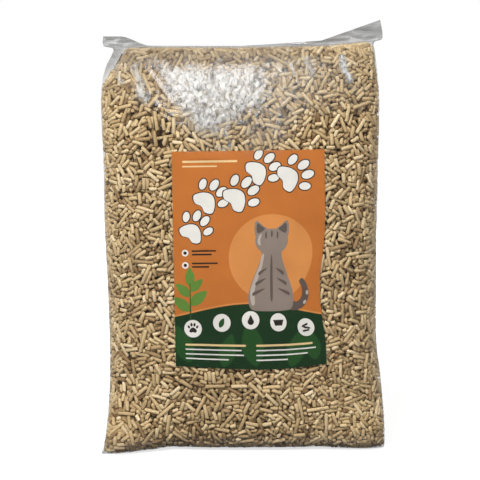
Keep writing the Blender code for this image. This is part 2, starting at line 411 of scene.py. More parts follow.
def pellet_mesh(name, length, sides, worn):
    """A rod along Z with rings at its ends and shoulders, pulled about at random."""
    shape = bmesh.new()
    maps = shape.loops.layers.uv.new("grain")
    half = length / 2.0
    if worn:
        inner = half - SHOULDER
        profile = ((-half, SHOULDER_WIDTH), (-inner, 1.0), (inner, 1.0), (half, SHOULDER_WIDTH))
    else:
        profile = ((-half, HIDDEN_END_WIDTH), (half, HIDDEN_END_WIDTH))
    swell = draw.uniform(*SWELL)
    slants = draw.uniform(-SLANT, SLANT, (2, 2))
    rings = []
    for level, (height, width) in enumerate(profile):
        ring = []
        lean = slants[0 if level < len(profile) / 2 else 1]
        for side in range(sides):
            angle = 2.0 * math.pi * side / sides
            across = Vector((math.cos(angle), math.sin(angle)))
            radius = PELLET_RADIUS * width * swell * draw.uniform(*DENTS)
            broken = across.x * lean[0] + across.y * lean[1] + draw.uniform(-SPLINTERS, SPLINTERS)
            ring.append(shape.verts.new((across.x * radius, across.y * radius, height + broken)))
        rings.append(ring)
    for lower, upper in zip(rings, rings[1:]):
        for side in range(sides):
            following = (side + 1) % sides
            face = shape.faces.new((lower[side], lower[following], upper[following], upper[side]))
            face.smooth = True
            around = (side / sides, (side + 1) / sides, (side + 1) / sides, side / sides)
            for loop, turn in zip(face.loops, around):
                loop[maps].uv = (turn, loop.vert.co.z / MAP_SCALE)
    for ring, flip in ((rings[0], True), (rings[-1], False)):
        face = shape.faces.new(list(reversed(ring)) if flip else ring)
        face.smooth = worn
        for loop in face.loops:
            loop[maps].uv = loop.vert.co.xy / MAP_SCALE
    mesh = bpy.data.meshes.new(name)
    shape.to_mesh(mesh)
    shape.free()
    return mesh


def pellet_variants(name, sides, worn):
    """A collection of broken pellets, three lengths by a few breaks, in the order of their numbers."""
    variants = bpy.data.collections.new(name)
    for number, length in enumerate(np.repeat(SHORT_LENGTHS, BREAKS_PER_LENGTH)):
        part_name = f"{name}_{number:02d}"
        variants.objects.link(bpy.data.objects.new(part_name, pellet_mesh(part_name, length, sides, worn)))
    return variants


def feed(node, values):
    """Sets inputs of a node, by name or by place, to values or to the outputs of other nodes."""
    for socket, value in values.items():
        if isinstance(value, bpy.types.NodeSocket):
            node.id_data.links.new(value, node.inputs[socket])
        else:
            node.inputs[socket].default_value = value


def add_node(tree, kind, values=None, **settings):
    """A new node with its settings and its inputs."""
    node = tree.nodes.new(kind)
    for name, value in settings.items():
        setattr(node, name, value)
    feed(node, values or {})
    return node


def new_material(name):
    """A material with its node tree and its main shader."""
    material = bpy.data.materials.new(name)
    material.use_nodes = True
    return material, material.node_tree, material.node_tree.nodes["Principled BSDF"]


def object_place(tree):
    """The place on the object, for textures."""
    return add_node(tree, "ShaderNodeTexCoord").outputs["Object"]


def attribute(tree, name):
    """A number that the mesh holds at each point."""
    return add_node(tree, "ShaderNodeAttribute", attribute_name=name).outputs["Fac"]


def calculate(tree, operation, *values):
    """A sum on numbers and on the outputs of nodes."""
    return add_node(tree, "ShaderNodeMath", dict(enumerate(values)), operation=operation).outputs["Value"]


def spread(tree, value, low, high, at_low, at_high):
    """A value taken from the range low to high to the range at_low to at_high."""
    values = {"Value": value, "From Min": low, "From Max": high, "To Min": at_low, "To Max": at_high}
    return add_node(tree, "ShaderNodeMapRange", values).outputs["Result"]


def cloud(tree, place, scale, detail, distortion=0.0):
    """Noise of a scale, from 0 to 1."""
    values = {"Vector": place, "Scale": scale, "Detail": detail, "Distortion": distortion}
    return add_node(tree, "ShaderNodeTexNoise", values).outputs["Fac"]


def ramp(tree, share, *stops):
    """A colour for each share from 0 to 1. Each stop is a share and its red, green and blue."""
    node = add_node(tree, "ShaderNodeValToRGB", {"Fac": share})
    elements = node.color_ramp.elements
    for _ in stops[2:]:
        elements.new(0.5)
    for element, (position, colour) in zip(elements, stops):
        element.position = position
        element.color = (*colour, 1.0)
    return node.outputs["Color"]


def relief(tree, height, strength, distance):
    """Normals for a shader, bent as if the surface had this height."""
    values = {"Height": height, "Strength": strength, "Distance": distance}
    return add_node(tree, "ShaderNodeBump", values).outputs["Normal"]


def pellet_tree(name):
    """Geometry nodes that put a variant at each point, turned and stretched by the point's attributes."""
    tree = bpy.data.node_groups.new(name, "GeometryNodeTree")
    for socket, kind in (("Points", "Geometry"), ("Variants", "Collection"), ("Finish", "Material")):
        tree.interface.new_socket(socket, in_out="INPUT", socket_type="NodeSocket" + kind)
    tree.interface.new_socket("Pellets", in_out="OUTPUT", socket_type="NodeSocketGeometry")
    given = add_node(tree, "NodeGroupInput")
    named = {}
    for point_value, kind in (("kind", "INT"), ("turn", "FLOAT_VECTOR"), ("stretch", "FLOAT")):
        node = add_node(tree, "GeometryNodeInputNamedAttribute", {"Name": point_value}, data_type=kind)
        named[point_value] = node.outputs["Attribute"]
    pieces = add_node(tree, "GeometryNodeCollectionInfo", {
        "Collection": given.outputs["Variants"],
        "Separate Children": True,
        "Reset Children": True,
    })
    scale = add_node(tree, "ShaderNodeCombineXYZ", {"X": 1.0, "Y": 1.0, "Z": named["stretch"]})
    turn = add_node(tree, "FunctionNodeEulerToRotation", {"Euler": named["turn"]})
    place = add_node(tree, "GeometryNodeInstanceOnPoints", {
        "Points": given.outputs["Points"],
        "Instance": pieces.outputs["Instances"],
        "Pick Instance": True,
        "Instance Index": named["kind"],
        "Rotation": turn.outputs["Rotation"],
        "Scale": scale.outputs["Vector"],
    })
    realize = add_node(tree, "GeometryNodeRealizeInstances", {"Geometry": place.outputs["Instances"]})
    finish = add_node(tree, "GeometryNodeSetMaterial", {
        "Geometry": realize.outputs["Geometry"],
        "Material": given.outputs["Finish"],
    })
    add_node(tree, "NodeGroupOutput", {"Pellets": finish.outputs["Geometry"]})
    return tree


def set_modifier_inputs(modifier, values):
    """Sets a geometry nodes modifier's inputs by their names."""
    for item in modifier.node_group.interface.items_tree:
        if item.in_out == "INPUT" and item.name in values:
            modifier[item.identifier] = values[item.name]


def turns_along(direction):
    """Euler turns that take Z to each direction, with a random spin about it."""
    tilt = np.arccos(np.clip(direction[:, 2], -1.0, 1.0))
    heading = np.arctan2(direction[:, 1], direction[:, 0])
    spin = draw.uniform(0.0, 2.0 * math.pi, len(direction))
    turns = np.empty((len(direction), 3))
    for row, (way, lean, twist) in enumerate(zip(heading, tilt, spin)):
        matrix = Matrix.Rotation(way, 3, "Z") @ Matrix.Rotation(lean, 3, "Y")
        turns[row] = (matrix @ Matrix.Rotation(twist, 3, "Z")).to_euler()
    return turns


def add_piece(name, mesh):
    """An object for a mesh, at the origin."""
    piece = bpy.data.objects.new(name, mesh)
    scene.collection.objects.link(piece)
    return piece


def baked_modifier(name, holder):
    """A new piece with the mesh that the holder's modifiers make. The holder goes."""
    bpy.context.view_layer.update()
    depsgraph = bpy.context.evaluated_depsgraph_get()
    mesh = bpy.data.meshes.new_from_object(holder.evaluated_get(depsgraph), depsgraph=depsgraph)
    mesh.name = name
    bpy.data.objects.remove(holder)
    return add_piece(name, mesh)


def set_values(mesh, name, values, kind="FLOAT"):
    """Gives each point of a mesh a number."""
    mesh.attributes.new(name, kind, "POINT").data.foreach_set("value", values)


def pellet_piece(name, chosen, variants, material):
    """One piece of realised pellets."""
    mesh = bpy.data.meshes.new(name)
    mesh.vertices.add(int(chosen.sum()))
    mesh.vertices.foreach_set("co", pellet_centre[chosen].ravel())
    steps = np.abs(np.log(pellet_length[chosen, None] / np.array(SHORT_LENGTHS)))
    step = steps.argmin(axis=1)
    kind = step * BREAKS_PER_LENGTH + draw.integers(0, BREAKS_PER_LENGTH, len(step))
    set_values(mesh, "kind", kind.astype(np.int32), "INT")
    set_values(mesh, "stretch", pellet_length[chosen] / np.array(SHORT_LENGTHS)[step])
    turns = turns_along(pellet_direction[chosen])
    mesh.attributes.new("turn", "FLOAT_VECTOR", "POINT").data.foreach_set("vector", turns.ravel())
    tone_and_shade = draw.normal(*TONE, len(step))
    # Painted shade: deeper pellets and pellets near the floor are drawn darker.
    tone_and_shade -= SHADE * ease(*SHADE_DEPTH, pellet_depth[chosen])
    tone_and_shade -= SHADE * (1.0 - ease(*SHADE_HEIGHT, pellet_centre[chosen, 2]))
    set_values(mesh, "tone_and_shade", np.clip(tone_and_shade, 0.0, 1.0))
    holder = add_piece(name + "_points", mesh)
    modifier = holder.modifiers.new("pellets", "NODES")
    modifier.node_group = pellet_tree(name)
    set_modifier_inputs(modifier, {"Variants": variants, "Finish": material})
    return baked_modifier(name, holder)


def wood_material():
    """Pressed softwood: pale brown, each pellet of its own tone with painted shade, mottled and a little
    rough.
    """
    material, tree, shader = new_material("pressed_softwood")
    mottle = cloud(tree, object_place(tree), 420.0, 4.0)
    shade = calculate(tree, "MULTIPLY_ADD", mottle, 0.5, attribute(tree, "tone_and_shade"))
    shade = calculate(tree, "SUBTRACT", shade, 0.25)
    dark, middle, pale = (0.25, 0.145, 0.060), (0.64, 0.475, 0.255), (0.86, 0.71, 0.47)
    feed(shader, {
        "Base Color": ramp(tree, shade, (0.0, dark), (0.5, middle), (1.0, pale)),
        "Roughness": 0.5,
        "Specular IOR Level": 0.5,
        "Normal": relief(tree, mottle, 0.5, 0.0003),
    })
    return material


space = filled_form()
fill_grid = depth_grid(space)
pellet_centre, pellet_direction, pellet_length = scatter_pellets(space)
pellet_centre, pellet_direction = settle_pellets(pellet_centre, pellet_direction, pellet_length, fill_grid)
pellet_depth = sample_grid(fill_grid, pellet_centre)[0]
pellet_wood = wood_material()
outer_variants = pellet_variants("pellet", PELLET_SIDES, True)
inner_variants = pellet_variants("inner_pellet", HIDDEN_SIDES, False)
outer = pellet_depth < OUTER_DEPTH
front = pellet_centre[:, 1] < 0.0
pellet_pieces = [
    pellet_piece("pellets_front", outer & front, outer_variants, pellet_wood),
    pellet_piece("pellets_back", outer & ~front, outer_variants, pellet_wood),
    pellet_piece("pellets_within", ~outer, inner_variants, pellet_wood),
]
for piece in pellet_pieces:
    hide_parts("pellet_fill")
    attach(piece, "root")


# The heart of the fill: what lies deeper than the modelled pellets, more of the same wood, with the deep
# shade there painted into its colour. It closes the view between them.
HEART_DEPTH = 0.013
HEART_BOTTOM = FLOOR_RING + 1.5
HEART_TOP = 13.2
HEART_LEAST = 0.0005
HEART_COLUMNS = 40
HEART_ROWS = 60


def heart_material():
    """The same wood with its deep shade painted into its colour, mottled at the size of the pellets."""
    material, tree, shader = new_material("wood_painted_in_shade")
    cells = add_node(tree, "ShaderNodeTexVoronoi", {"Vector": object_place(tree), "Scale": 140.0})
    # Painted shade: dark brown to near black, far below the lit wood.
    brown, dark = (0.17, 0.095, 0.042), (0.06, 0.034, 0.015)
    colour = ramp(tree, cells.outputs["Distance"], (0.0, brown), (1.0, dark))
    feed(shader, {"Base Color": colour, "Roughness": 0.9})
    return material


def heart_rings():
    """Rings of the bag's form, drawn in by HEART_DEPTH on all sides."""
    rings = tube_rings(np.linspace(HEART_BOTTOM, HEART_TOP, HEART_ROWS), round_steps(HEART_COLUMNS))
    front_rows, back_rows = np.split(rings, 2, axis=1)
    back_rows = back_rows[:, ::-1]
    middle = (front_rows + back_rows) / 2.0
    thickness = np.maximum(HEART_LEAST, (back_rows[..., 1] - front_rows[..., 1]) / 2.0 - HEART_DEPTH)
    middle[..., 0] *= 1.0 - HEART_DEPTH / np.abs(middle[..., 0]).max(axis=1, keepdims=True)
    middle[..., 2] = np.maximum(middle[..., 2], HEART_DEPTH)
    shift = thickness[..., None] * np.array((0.0, 1.0, 0.0))
    return np.concatenate([middle - shift, (middle + shift)[:, ::-1]], axis=1)


heart = add_piece("fill_heart", tube_mesh("fill_heart", heart_rings()))
heart.data.materials.append(heart_material())
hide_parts("pellet_fill")
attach(heart, "root")


# The printed sheet is A4 paper, slipped between the film and the pellets. Its print is fields of ink: an
# orange ground, a green hill, a grey cat, white paws and discs, and plain bars in rows. Measures are
# millimetres from the sheet's lower left corner. The sheet's one mesh is cut along the print's outlines.
SHEET_WIDTH = 210.0
SHEET_HEIGHT = 297.0
SHEET_MIDDLE = (0.0085, 0.277)
SHEET_TURN = math.radians(0.9)
SHEET_UNDER_FILM = 0.0007
SHEET_SAMPLE = 3.0
PINCH = 8.5
PINCH_HEIGHT = 105.0
PINCH_REACH = 60.0
PINCH_POWER = 2.5
DROOP = 5.7
DROOP_REACH = 120.0
DROOP_SKEW = 1.36
WAVE = 0.0004
DIMPLE = 0.00018
CUT_TOLERANCE = 0.01
CURVE_STEPS = 6
HILL_LEAVES = ((20, 6, 54, 20), (66, 2, 46, -16), (112, 4, 60, 10), (160, 2, 50, -20), (196, 8, 46, 14))
SPRIG_LEAVES = ((78, 30, 52), (86, 30, -50), (98, 26, 48), (105, 24, -46), (112, 26, 0))
TOES = (
    (-0.50, 0.22, 0.13, 0.20, 24.0),
    (-0.18, 0.48, 0.14, 0.22, 8.0),
    (0.18, 0.48, 0.14, 0.22, -8.0),
    (0.50, 0.22, 0.13, 0.20, -24.0),
)
PAW_TRAIL = (
    (29.0, 191.0, 36.0, -34.0),
    (50.0, 233.0, 38.0, -44.0),
    (92.0, 236.0, 40.0, -50.0),
    (122.0, 271.0, 38.0, -58.0),
    (166.0, 262.0, 40.0, -66.0),
)
INKS = {
    "orange": (195, 115, 48),
    "amber": (214, 142, 76),
    "green": (22, 56, 26),
    "leaf_green": (98, 138, 56),
    "hill_green": (36, 80, 34),
    "white": (232, 230, 224),
    "cream": (236, 205, 150),
    "charcoal": (42, 34, 30),
    "cat_grey": (142, 128, 118),
    "cat_pale": (186, 174, 163),
    "cat_dark": (96, 84, 77),
    "rust": (150, 66, 36),
}


def placed(outline, u, v, size=1.0, lean=0.0):
    """An outline scaled, turned to the left by degrees, and moved."""
    turn = math.radians(lean)
    cosine, sine = math.cos(turn), math.sin(turn)
    return [(u + size * (x * cosine - y * sine), v + size * (x * sine + y * cosine)) for x, y in outline]


def oval(u, v, wide, high, lean=0.0, sides=36):
    """An oval with its two radii, leaning to the left by degrees."""
    angles = [2.0 * math.pi * step / sides for step in range(sides)]
    return placed([(wide * math.cos(angle), high * math.sin(angle)) for angle in angles], u, v, lean=lean)


def symmetric(half):
    """An outline from its one half, the other being its mirror image."""
    return [*half, *((-x, y) for x, y in half[::-1] if x != 0.0)]


def bar(u, v, wide, high, sides=5):
    """A bar with round ends, from its left end."""
    radius = high / 2.0
    points = []
    for centre, start in ((u + wide - radius, -90.0), (u + radius, 90.0)):
        for step in range(sides + 1):
            angle = math.radians(start + 180.0 * step / sides)
            points.append((centre + radius * math.cos(angle), v + radius * math.sin(angle)))
    return points


def smooth_outline(corners):
    """A closed smooth curve through corners."""
    points = []
    for index in range(len(corners)):
        near = [np.array(corners[(index + step) % len(corners)]) for step in (-1, 0, 1, 2)]
        points += [tuple(smooth_step(*near, step / CURVE_STEPS)) for step in range(CURVE_STEPS)]
    return points


def paw_outlines(u, v, size, lean, rim=0.0):
    """A paw print: its pad and four toes, each grown by a rim."""
    pad = symmetric(((0.0, 0.16), (0.28, 0.02), (0.46, -0.30), (0.25, -0.47), (0.0, -0.40)))
    pad = [(x * (1.0 + rim / 0.46), -0.2 + (y + 0.2) * (1.0 + rim / 0.36)) for x, y in pad]
    outlines = [smooth_outline(pad)]
    for x, y, wide, high, tilt in TOES:
        outlines.append(oval(x, y, wide + rim, high + rim, tilt, sides=24))
    return [placed(outline, u, v, size, lean) for outline in outlines]


def leaf_outline(u, v, size, lean):
    """A pointed leaf that grows from its foot."""
    leaf = symmetric(((0.0, 0.0), (0.20, 0.22), (0.24, 0.55), (0.0, 1.0)))
    return placed(smooth_outline(leaf), u, v, size, lean)


def hill_height(u):
    """The height of the hill's crest along the sheet."""
    return 74.0 + 13.0 * math.sin(math.pi * (u - 20.0) / 170.0)


def hill_outline(rise):
    """The hill at the foot of the sheet, its crest raised by so many millimetres."""
    crest = [(u, rise + hill_height(u)) for u in SHEET_WIDTH * np.arange(31) / 30]
    return [(0.0, 0.0), (SHEET_WIDTH, 0.0)] + crest[::-1]


def both_sides(outline):
    """An outline and its mirror image."""
    return [outline, [(-x, y) for x, y in outline]]


def inked(ink, outlines):
    """Outlines with their ink."""
    return [(ink, outline) for outline in outlines]


def cat_shapes(u, v):
    """A grey tabby that sits on the hill and looks away, as flat shapes with their inks."""
    body = ((-16, -2), (-30, 1), (-34, 14), (-32, 28), (-26, 44), (-20, 58), (-15, 72), (-12, 82))
    light = ((-30, 8), (-31, 26), (-25, 44), (-18, 60), (-14, 75))
    light += ((-11, 75), (-14, 58), (-20, 42), (-25, 26), (-25, 8))
    tail = ((18, 3), (34, -2), (49, 3), (57, 16), (55, 32), (48, 42))
    tail += ((43, 38), (47, 29), (47, 18), (39, 10), (24, 13))
    head = ((-23, 92), (-21, 102), (-12, 109), (0, 111), (12, 109), (21, 102), (23, 92))
    head += ((18, 82), (8, 77), (-8, 77), (-18, 82))
    spine = ((-1.8, 16.0), (-1.6, 60.0), (0.0, 76.0), (1.6, 60.0), (1.8, 16.0))
    cheek = ((-20, 92), (-18, 101), (-14, 104), (-16, 96), (-16, 88))
    ear = smooth_outline(((-21, 99), (-24, 113), (-21, 122), (-13, 116), (-5, 108)))
    shapes = [("cat_dark", smooth_outline(tail)), ("cat_grey", smooth_outline(symmetric(body)))]
    shapes.append(("cat_pale", smooth_outline(light)))
    for low in (22.0, 36.0, 50.0):
        edge = 33.0 - 0.30 * low
        stripe = smooth_outline(((-edge, low + 2.0), (-0.36 * edge, low + 7.0), (-edge, low - 3.0)))
        shapes += inked("cat_dark", both_sides(stripe))
    shapes.append(("cat_dark", smooth_outline(spine)))
    shapes += inked("cat_grey", both_sides(ear))
    shapes.append(("cat_grey", smooth_outline(head)))
    shapes += inked("cat_dark", both_sides(placed(ear, -6.6, 45.6, 0.6)))
    shapes += inked("cat_dark", (oval(x, y, 1.3, 5.0) for x, y in ((-8, 102), (0, 104), (8, 102))))
    shapes.append(("cat_pale", smooth_outline(cheek)))
    shapes += inked("cat_pale", (oval(51.0, 9.0, 3.2, 1.9, 50.0), oval(55.0, 22.0, 3.2, 1.9, 90.0)))
    return [(ink, placed(outline, u, v)) for ink, outline in shapes]


def pictogram(number, u, v):
    """What each white disc shows: a paw, a leaf, a drop, a tray, a few pellets."""
    if number == 0:
        return inked("charcoal", paw_outlines(u, v, 11.5, 0.0))
    if number == 1:
        return [("hill_green", leaf_outline(u - 3.0, v - 6.5, 14.0, -24.0))]
    if number == 2:
        drop = symmetric(((0.0, 0.62), (0.22, 0.20), (0.40, -0.15), (0.30, -0.45), (0.0, -0.58)))
        return [("charcoal", placed(smooth_outline(drop), u, v, 11.0))]
    if number == 3:
        tray = placed([(-7.0, 1.5), (-5.2, -4.5), (5.2, -4.5), (7.0, 1.5)], u, v)
        return inked("charcoal", (tray, bar(u - 7.8, v + 2.4, 15.6, 1.8)))
    pellet = bar(-5.0, 0.0, 10.0, 2.6)
    spots = ((-1.5, 3.0, 24.0), (1.0, -0.6, -12.0), (-0.5, -4.4, 8.0))
    return inked("charcoal", (placed(pellet, u + x, v + y, lean=lean) for x, y, lean in spots))


def print_shapes():
    """All of the print in the order in which it is laid on: each ink with its outline."""
    shapes = [("amber", oval(136.0, 150.0, 60.0, 60.0, sides=72))]
    shapes += [("amber", hill_outline(2.4)), ("green", hill_outline(0.0))]
    shapes += inked("hill_green", (leaf_outline(*leaf) for leaf in HILL_LEAVES))
    shapes += inked("leaf_green", (leaf_outline(22.0, *leaf) for leaf in SPRIG_LEAVES))
    shapes.append(("hill_green", [(21.0, 66.0), (23.0, 66.0), (22.4, 116.0), (21.6, 116.0)]))
    for u, v, size, lean in PAW_TRAIL:
        shapes += inked("charcoal", paw_outlines(u, v, size, lean, rim=1.5 / size))
        shapes += inked("white", paw_outlines(u, v, size, lean))
    shapes += inked("cream", (bar(14.0, 283.0, 76.0, 3.0), bar(14.0, 276.5, 48.0, 2.0)))
    shapes += cat_shapes(136.0, 79.0)
    for row, widths in enumerate(((34, 28), (36, 24))):
        v = 158.0 - 17.0 * row
        shapes.append(("white", oval(16.0, v, 4.6, 4.6, sides=24)))
        shapes.append(("charcoal", oval(16.0, v, 2.4, 2.4, sides=18)))
        bars = (bar(25.0, v + 2.6 - 4.8 * line, wide, 2.3) for line, wide in enumerate(widths))
        shapes += inked("charcoal", bars)
    for number in range(5):
        u = 25.0 + 40.0 * number
        v = hill_height(u) - 22.0
        shapes += [("charcoal", oval(u, v, 12.9, 12.9)), ("white", oval(u, v, 12.2, 12.2))]
        shapes += pictogram(number, u, v)
    for left, widths in ((14.0, (84, 78, 81, 60)), (112.0, (80, 84, 72, 44))):
        shapes.append(("cream", bar(left, 31.0, widths[0], 2.8)))
        bars = (bar(left, 31.0 - 6.4 * line, widths[line], 1.8) for line in (1, 2, 3))
        shapes += inked("white", bars)
    return shapes


def linear(colour):
    """A colour of 0 to 255, all above 10, in the renderer's linear values."""
    return (*(((value / 255.0 + 0.055) / 1.055) ** 2.4 for value in colour), 1.0)


def ink_material(name, colour):
    """One ink on coated paper: its colour, a little uneven, under a soft gloss."""
    material, tree, shader = new_material("ink_" + name)
    mottle = cloud(tree, object_place(tree), 22.0, 6.0)
    uneven = ramp(tree, mottle, (0.3, (0.86, 0.85, 0.84)), (0.7, (1.0, 1.0, 1.0)))
    values = {"Factor": 1.0, "A": linear(colour), "B": uneven}
    mix = add_node(tree, "ShaderNodeMix", values, data_type="RGBA", blend_type="MULTIPLY")
    feed(shader, {"Base Color": mix.outputs["Result"], "Roughness": 0.5, "Specular IOR Level": 0.25})
    return material


def cut_sheet(shapes):
    """The sheet cut along every outline: its points in millimetres, triangles, and the shape of each."""
    columns, rows = int(SHEET_WIDTH / SHEET_SAMPLE), int(SHEET_HEIGHT / SHEET_SAMPLE)
    points, faces = [], []
    edge = [(SHEET_WIDTH * step / columns, 0.0) for step in range(columns)]
    edge += [(SHEET_WIDTH, SHEET_HEIGHT * step / rows) for step in range(rows)]
    edge += [(SHEET_WIDTH - x, SHEET_HEIGHT) for x, _ in edge[:columns]]
    edge += [(0.0, SHEET_HEIGHT - SHEET_HEIGHT * step / rows) for step in range(rows)]
    for outline in [edge] + [outline for _, outline in shapes]:
        outline = [(min(max(x, 0.0), SHEET_WIDTH), min(max(y, 0.0), SHEET_HEIGHT)) for x, y in outline]
        following = outline[1:] + outline[:1]
        turned = sum(x * next_y - next_x * y for (x, y), (next_x, next_y) in zip(outline, following))
        faces.append(list(range(len(points), len(points) + len(outline))))
        points += outline if turned > 0.0 else outline[::-1]
    for column in range(1, columns):
        points += [(column * SHEET_SAMPLE, row * SHEET_SAMPLE) for row in range(1, rows)]
    cut = delaunay_2d_cdt([Vector(point) for point in points], [], faces, 1, CUT_TOLERANCE)
    return np.array([tuple(point) for point in cut[0]]), cut[2], [max(owners) for owners in cut[5]]


def form_tree(rings):
    """A search tree of a tube of rings."""
    mesh = tube_mesh("form", rings)
    places = [vertex.co.copy() for vertex in mesh.vertices]
    tree = BVHTree.FromPolygons(places, [tuple(face.vertices) for face in mesh.polygons])
    bpy.data.meshes.remove(mesh)
    return tree


FILM_ROWS = 236
FILM_COLUMNS = 168
FINE_STEPS = 1200
FINE_SHARES = 2001
NEAR_FOLD = 0.97
MIDDLE_RING = 8.0


def film_rings():
    """The bag's form in fine rings with even steps, before the film gets its relief."""
    fine = np.linspace(0.0, len(RINGS) - 1.0, FINE_STEPS)
    middle = bag_points(fine, np.zeros_like(fine), -1)
    edge = bag_points(fine, np.full_like(fine, NEAR_FOLD), -1)
    steps = np.maximum(*(np.linalg.norm(np.diff(line, axis=0), axis=1) for line in (middle, edge)))
    along = np.concatenate([[0.0], np.cumsum(steps)])
    positions = np.interp(np.linspace(0.0, along[-1], FILM_ROWS), along, fine)
    shares = np.linspace(-1.0, 1.0, FINE_SHARES)
    middle = bag_points(np.full_like(shares, MIDDLE_RING), shares, -1)
    across = even_steps(middle, shares, FILM_COLUMNS + 1)
    return tube_rings(positions, across)


def drape_sheet(points, film_form):
    """Takes the flat sheet's points to the bag's front, just under the film, in a slow wave."""
    draped = []
    for u, v in points:
        share = u / SHEET_WIDTH
        nearness = math.exp(-(abs(v - PINCH_HEIGHT) / PINCH_REACH) ** PINCH_POWER)
        pinch = PINCH * nearness * ease(0.5, 1.0, share)
        droop = DROOP * math.sin(math.pi * share ** DROOP_SKEW) * max(0.0, 1.0 - v / DROOP_REACH) ** 2
        along, up = (u - pinch - SHEET_WIDTH / 2.0) / 1000.0, (v - droop - SHEET_HEIGHT / 2.0) / 1000.0
        x = SHEET_MIDDLE[0] + along * math.cos(SHEET_TURN) - up * math.sin(SHEET_TURN)
        z = SHEET_MIDDLE[1] + along * math.sin(SHEET_TURN) + up * math.cos(SHEET_TURN)
        film = film_form.ray_cast(Vector((x, -1.0, z)), Vector((0.0, 1.0, 0.0)))[0]
        wave = WAVE * noise.noise(Vector((x * 14.0, 0.0, z * 11.0)))
        dimple = DIMPLE * noise.noise(Vector((x * 95.0, 3.0, z * 95.0)))
        draped.append((x, film.y + SHEET_UNDER_FILM + wave + dimple, z))
    return draped


bag_rings = film_rings()
bag_form = form_tree(bag_rings)
sheet_print = print_shapes()
sheet_points, sheet_faces, sheet_shapes = cut_sheet(sheet_print)
sheet_mesh = bpy.data.meshes.new("printed_sheet")
sheet_mesh.from_pydata(drape_sheet(sheet_points, bag_form), [], sheet_faces)
ink_names = list(INKS)
for ink in ink_names:
    sheet_mesh.materials.append(ink_material(ink, INKS[ink]))
ink_of_shape = [ink_names.index("orange")] + [ink_names.index(ink) for ink, _ in sheet_print]
sheet_mesh.polygons.foreach_set("material_index", [ink_of_shape[shape] for shape in sheet_shapes])
sheet_mesh.shade_smooth()
if sheet_mesh.polygons[0].normal.y > 0.0:
    sheet_mesh.flip_normals()
printed_sheet = add_piece("printed_sheet", sheet_mesh)
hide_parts("label_sheet")
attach(printed_sheet, "root")


# The film is clear polyethylene, a tube with a weld across each end. It lies tight over the pellets and
# shows their relief, wrinkles down from the top weld, and stands up in an ear of empty film at each top
# corner. Under the top weld a milky patch and pale streaks are painted on, as the glare of the key light.
FILM_GAP = 0.0004
FILM_SAG_MOST = 0.0016
FILM_SAG_SHARE = 0.5
FILM_SMOOTHING = 2
FILM_REACH = 0.012
BACKED_WITHIN = 0.006
EMPTY_UNDER = (0.002, 0.012)
CORNER_SMOOTHING = 6
CORNER_SLACK = 0.8
CORNER_SIDES = (0.12, 0.16)
CORNER_HEIGHTS = (0.470, 0.520)
CORNER_FOOT = (0.010, 0.035)
EAR_SLACK = 0.45
EAR_SIDES = ((0.13, 0.16), (0.02, 0.12))
RIGHT_EAR_SHARE = 0.8
EAR_HEIGHTS = (0.520, 0.560)
VEIL = 0.36
VEIL_HEIGHTS = (0.520, 0.562)
VEIL_CLEARS = 0.6
VEIL_CLEARING = (0.05, 0.12)
# Painted shade: a grey veil on the film near the floor, where it turns under the bag.
FOOT_SHADE = 0.30
FOOT_SHADE_HEIGHTS = (0.004, 0.034)
FLUTTERS = ((0.0020, 34.0, 0.0, 90.0), (0.0013, 70.0, 5.0, 240.0))
FLUTTER_HEIGHTS = (0.02, 0.06)
FOLD_ANGLE = math.radians(70.0)
# Painted glare: a milky patch under the top weld, and pale streaks, stand in for the key light's
# reflection.
GLARE_PATCH = ((-0.074, 0.456), (-0.046, 0.443), (0.040, 0.493), (0.028, 0.540), (-0.134, 0.546))
GLARE_MOST = 0.93
GLARE_EDGE = (-0.012, 0.020)
GLARE_WANDER = 0.012
AROUND_LEFT = (-0.075, 0.12)
AROUND_RIGHT = (-0.170, 0.27)
AROUND_NEAR = -0.030
AROUND_FOOT = (0.405, 0.055)
AROUND_FOOT_SIDES = (0.05, 0.11)
AROUND_TOP = (0.540, 0.562)
AROUND_FOOT_MIDDLE = -0.01
AROUND_FOOT_FADE = 0.06
GLINT_CORE = 0.3
# Painted glints: pale streaks from (x, z) to (x, z), with their half widths and strengths.
GLINT_STREAKS = (
    (0.137, 0.554, 0.146, 0.519, 0.0070, 1.60),
    (0.088, 0.549, 0.098, 0.527, 0.0100, 0.60),
    (-0.147, 0.543, -0.135, 0.494, 0.0060, 0.80),
    (-0.152, 0.537, -0.141, 0.517, 0.0050, 0.70),
    (-0.179, 0.542, -0.175, 0.520, 0.0055, 0.70),
    (-0.020, 0.452, -0.032, 0.428, 0.0060, 0.50),
)
CREASE_FADE = 1.6
CREASE_PAST = 0.15
CREASES = (
    (-0.181, 0.545, -0.166, 0.505, 0.0022, 0.0012),
    (-0.176, 0.552, -0.128, 0.478, 0.0026, 0.0011),
    (-0.150, 0.556, -0.096, 0.488, 0.0022, 0.0012),
    (-0.132, 0.552, -0.084, 0.497, 0.0020, 0.0011),
    (-0.118, 0.556, -0.060, 0.520, 0.0022, 0.0009),
    (-0.040, 0.560, -0.052, 0.505, 0.0028, 0.0010),
    (0.018, 0.561, 0.008, 0.500, 0.0026, 0.0010),
    (0.060, 0.560, 0.080, 0.515, 0.0022, 0.0009),
    (0.128, 0.560, 0.142, 0.522, 0.0024, 0.0013),
    (0.165, 0.560, 0.150, 0.505, 0.0022, 0.0010),
    (0.178, 0.545, 0.168, 0.470, 0.0022, 0.0010),
    (-0.188, 0.030, -0.150, 0.085, 0.0030, 0.0013),
    (-0.170, 0.012, -0.118, 0.040, 0.0030, 0.0012),
    (0.192, 0.030, 0.160, 0.090, 0.0030, 0.0013),
    (0.180, 0.012, 0.120, 0.034, 0.0030, 0.0012),
)


